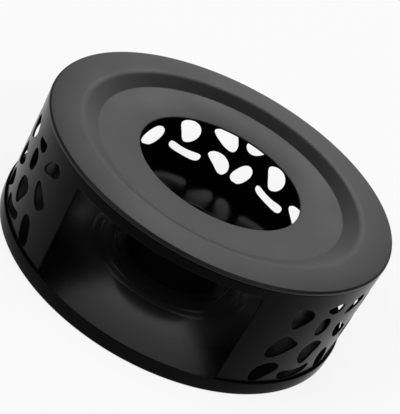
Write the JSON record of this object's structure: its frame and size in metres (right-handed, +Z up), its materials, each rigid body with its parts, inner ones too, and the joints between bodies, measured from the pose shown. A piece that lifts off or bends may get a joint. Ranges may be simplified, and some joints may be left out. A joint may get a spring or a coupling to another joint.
{
  "type": "teapot warmer",
  "caption": "Round sheet-steel teapot warmer: stepped ring top with a centre hole, pebble-vented wall, open front window, tray base and a lift-out candle cup.",
  "frame": {"origin": "middle of the underside of the base tray, on the table", "axes": "+Z up through the centre hole, -Y out of the front window, +X to the right seen from the front"},
  "size_m": [0.1518, 0.1518, 0.053],
  "materials": {
    "top_coat": "matte black heat-proof coating",
    "wall_coat": "satin black heat-proof coating",
    "base_coat": "satin black heat-proof coating",
    "cup_coat": "satin black heat-proof coating"
  },
  "bodies": {
    "warmer": {"top_plate": "top_coat", "vented_wall": "wall_coat", "base_tray": "base_coat"},
    "cup": {"candle_cup": "cup_coat"}
  },
  "joints": [
    {"name": "cup_lift", "type": "slide", "parent": "warmer", "child": "cup", "axis": [0, 0, 1], "range_m": [0, 0.055]}
  ]
}
